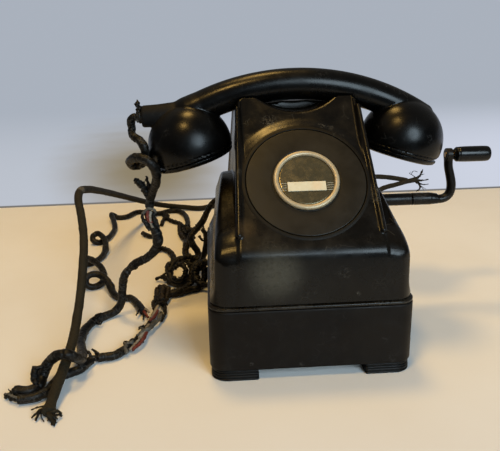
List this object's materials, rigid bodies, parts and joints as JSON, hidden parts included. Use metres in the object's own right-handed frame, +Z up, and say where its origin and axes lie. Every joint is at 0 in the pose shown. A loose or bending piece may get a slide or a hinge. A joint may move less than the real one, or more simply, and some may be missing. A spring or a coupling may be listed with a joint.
{
  "type": "magneto desk telephone",
  "caption": "Black desk telephone with a blanked dial, hand crank generator, handset in a saddle cradle, rubber feet and old frayed cords.",
  "frame": {"origin": "centre of the bounding box without the cords, on the floor under the rubber feet", "axes": "+X to the right of the case towards the crank and the long way of the handset, +Y to the back, +Z up"},
  "size_m": [0.4631, 0.5448, 0.2024],
  "materials": {
    "case_moulding": "black moulded phenolic, worn satin gloss with brown tint",
    "base_moulding": "black moulded phenolic, duller than the upper case",
    "dial_moulding": "matte brownish black",
    "handset_moulding": "glossy black phenolic",
    "foot_rubber": "ribbed black rubber",
    "cord_rubber": "aged cracked black rubber",
    "cord_braid": "olive brown woven braid",
    "bright_ring": "plated ring, lightly worn",
    "badge_dark": "dark lacquered disc",
    "card": "plain cream card",
    "crank_steel": "black painted steel, worn",
    "plated_steel": "dull plated steel",
    "brass": "aged brass",
    "magnet_steel": "dark magnet steel",
    "coil_wrap": "varnished brown coil wrapping",
    "terminal_moulding": "brown moulded block"
  },
  "bodies": {
    "case": {"base_housing": "base_moulding", "base_plate": "plated_steel", "chassis": "plated_steel", "magneto_frame": "plated_steel", "gong_left": "plated_steel", "gong_right": "plated_steel", "gong_post_left": "plated_steel", "gong_post_right": "plated_steel", "ringer_yoke": "plated_steel", "condenser": "plated_steel", "hook_switch": "plated_steel", "foot_front_left": "foot_rubber", "foot_front_right": "foot_rubber", "foot_rear_left": "foot_rubber", "foot_rear_right": "foot_rubber", "upper_housing": "case_moulding", "dial_blank": "dial_moulding", "badge_disc": "badge_dark", "badge_ring": "bright_ring", "number_card": "card", "magnet_1": "magnet_steel", "magnet_2": "magnet_steel", "magnet_3": "magnet_steel", "terminal_screw_1": "brass", "terminal_screw_2": "brass", "terminal_screw_3": "brass", "terminal_screw_4": "brass", "crank_bushing": "crank_steel", "ringer_coil_left": "coil_wrap", "ringer_coil_right": "coil_wrap", "induction_coil": "coil_wrap", "terminal_block": "terminal_moulding", "handset_cord_grommet": "cord_rubber", "remnant_cord_grommet": "cord_rubber", "line_cord_grommet": "cord_rubber", "handset_cord": "cord_rubber", "handset_cord_base": "cord_rubber", "cord_remnant": "cord_rubber", "line_cord": "cord_braid", "line_cord_tail": "cord_braid"},
    "crank": {"crank_shaft": "crank_steel", "crank_arm": "crank_steel", "knob_pin": "brass", "drive_gear": "brass"},
    "knob": {"crank_knob": "handset_moulding"},
    "rotor": {"armature": "plated_steel", "pinion": "plated_steel"},
    "plunger": {"hook_plunger": "case_moulding"},
    "striker": {"clapper": "plated_steel"},
    "handset": {"handset_handle": "handset_moulding", "transmitter_cap": "handset_moulding", "receiver_cap": "handset_moulding", "transmitter_capsule": "plated_steel", "receiver_capsule": "plated_steel", "handset_cord_gland": "cord_rubber"}
  },
  "joints": [
    {"name": "handset_lift", "type": "slide", "parent": "case", "child": "handset", "axis": [0, 0, 1], "range_m": [0, 0.1]},
    {"name": "hook_plunger", "type": "slide", "parent": "case", "child": "plunger", "axis": [0, 0, 1], "range_m": [0, 0.006]},
    {"name": "crank_turn", "type": "hinge", "parent": "case", "child": "crank", "pos_m": [-0.02405, 0.0163, 0.0924], "axis": [1, 0, 0], "continuous": true},
    {"name": "armature_spin", "type": "hinge", "parent": "case", "child": "rotor", "pos_m": [-0.02405, 0.0163, 0.0606], "axis": [1, 0, 0], "continuous": true},
    {"name": "knob_spin", "type": "hinge", "parent": "crank", "child": "knob", "pos_m": [0.11095, 0.0163, 0.1293], "axis": [1, 0, 0], "continuous": true},
    {"name": "clapper_swing", "type": "hinge", "parent": "case", "child": "striker", "pos_m": [-0.02405, -0.0217, 0.027], "axis": [0, 0, 1], "range_deg": [-4, 4]}
  ],
  "couplings": [
    {"joint": "hook_plunger", "follows": "handset_lift", "ratio": 0.06},
    {"joint": "armature_spin", "follows": "crank_turn", "ratio": -5}
  ]
}
